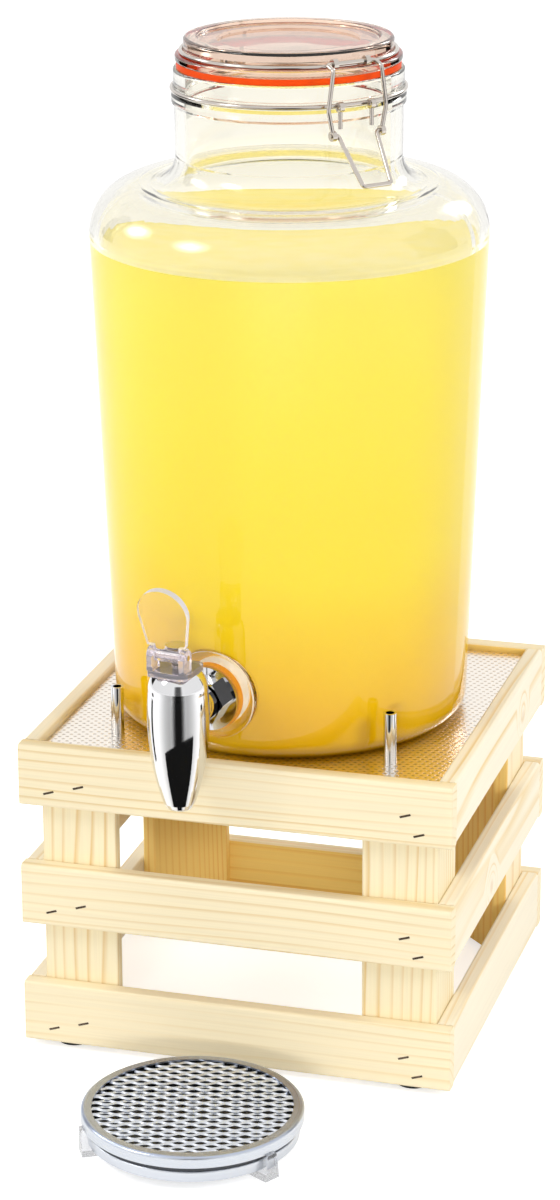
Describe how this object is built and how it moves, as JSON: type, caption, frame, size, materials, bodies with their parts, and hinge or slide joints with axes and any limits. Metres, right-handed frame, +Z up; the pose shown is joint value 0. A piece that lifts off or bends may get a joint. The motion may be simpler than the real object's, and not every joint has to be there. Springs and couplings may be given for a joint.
{
  "type": "glass beverage dispenser",
  "caption": "Tapered glass jar with a wire clip-top lid and a front tap, standing on a slatted wooden crate, with a loose round drip tray in front.",
  "frame": {"origin": "centre of the crate's footprint, on the table under the rubber feet", "axes": "+Z up along the jar's axis, -Y to the front where the tap and the drip tray are, +X to the right seen from the front"},
  "size_m": [0.255, 0.3955, 0.5807],
  "materials": {
    "pine": "planed pale softwood, unvarnished",
    "black_rubber": "matt",
    "zinc_steel": "zinc-plated",
    "tap_chrome": "polished chrome",
    "embossed_metal": "bright sheet with small embossed dashes",
    "jar_glass": "clear blown glass",
    "lid_glass": "clear pressed glass",
    "orange_silicone": "smooth",
    "wire_steel": "bright drawn wire",
    "amber_silicone": "translucent, smooth",
    "white_silicone": "smooth",
    "white_plastic": "moulded",
    "clear_plastic": "clear moulded plastic",
    "tray_steel": "satin stainless"
  },
  "bodies": {
    "crate": {"slat_front_bottom": "pine", "slat_back_bottom": "pine", "slat_left_bottom": "pine", "slat_right_bottom": "pine", "slat_front_middle": "pine", "slat_back_middle": "pine", "slat_left_middle": "pine", "slat_right_middle": "pine", "slat_front_top": "pine", "slat_back_top": "pine", "slat_left_top": "pine", "slat_right_top": "pine", "corner_post_front_left": "pine", "corner_post_front_right": "pine", "corner_post_back_left": "pine", "corner_post_back_right": "pine", "slat_staples": "zinc_steel", "base_board": "pine", "top_plate": "embossed_metal", "locating_pin_front_left": "tap_chrome", "locating_pin_front_right": "tap_chrome", "locating_pin_back_left": "tap_chrome", "locating_pin_back_right": "tap_chrome", "pin_screws": "zinc_steel", "rubber_foot_front_left": "black_rubber", "rubber_foot_front_right": "black_rubber", "rubber_foot_back_left": "black_rubber", "rubber_foot_back_right": "black_rubber", "foot_screws": "zinc_steel"},
    "jar": {"glass_jar": "jar_glass", "neck_band": "wire_steel", "tap_body": "tap_chrome", "tap_bonnet": "tap_chrome", "tap_collar": "clear_plastic", "tap_shank": "tap_chrome", "shank_nut": "tap_chrome", "outer_washer": "amber_silicone", "inner_washer": "amber_silicone", "lock_nut": "white_plastic"},
    "lid": {"glass_lid": "lid_glass", "lid_gasket": "orange_silicone", "lid_wire": "wire_steel"},
    "bail": {"clip_bail": "wire_steel"},
    "lever": {"clip_lever": "wire_steel"},
    "tap_handle": {"handle_paddle": "clear_plastic", "handle_pin": "wire_steel"},
    "tap_valve": {"tap_stem": "wire_steel", "seat_cup": "white_silicone"},
    "tray": {"tray_dish": "tray_steel", "tray_foot_back": "clear_plastic", "tray_foot_left": "clear_plastic", "tray_foot_right": "clear_plastic"},
    "tray_cover": {"tray_rim": "tray_steel", "tray_grille": "tray_steel"}
  },
  "joints": [
    {"name": "jar_lift", "type": "slide", "parent": "crate", "child": "jar", "axis": [0, 0, 1], "range_m": [0, 0.12]},
    {"name": "lid_hinge", "type": "hinge", "parent": "jar", "child": "lid", "pos_m": [-0.05083, 0.04577, 0.5546], "axis": [-0.6691, -0.7431, 0], "range_deg": [0, 100]},
    {"name": "bail_hinge", "type": "hinge", "parent": "lid", "child": "bail", "pos_m": [0.04708, -0.04239, 0.57475], "axis": [-0.6691, -0.7431, 0], "range_deg": [0, 40]},
    {"name": "lever_hinge", "type": "hinge", "parent": "bail", "child": "lever", "pos_m": [0.05224, -0.04704, 0.53675], "axis": [-0.6691, -0.7431, 0], "range_deg": [0, 100]},
    {"name": "handle_hinge", "type": "hinge", "parent": "jar", "child": "tap_handle", "pos_m": [-0.02483, -0.15677, 0.2645], "axis": [0.9877, -0.1564, 0], "range_deg": [0, 30], "stiffness_Nm_per_rad": 0.3},
    {"name": "valve_lift", "type": "slide", "parent": "jar", "child": "tap_valve", "axis": [0, 0, 1], "range_m": [0, 0.0056]},
    {"name": "tray_slide", "type": "slide", "parent": "crate", "child": "tray", "axis": [0, -1, 0], "range_m": [-0.02, 0.15]},
    {"name": "cover_lift", "type": "slide", "parent": "tray", "child": "tray_cover", "axis": [0, 0, 1], "range_m": [0, 0.06]}
  ],
  "couplings": [
    {"joint": "valve_lift", "follows": "handle_hinge", "m_per_rad": 0.0105}
  ]
}
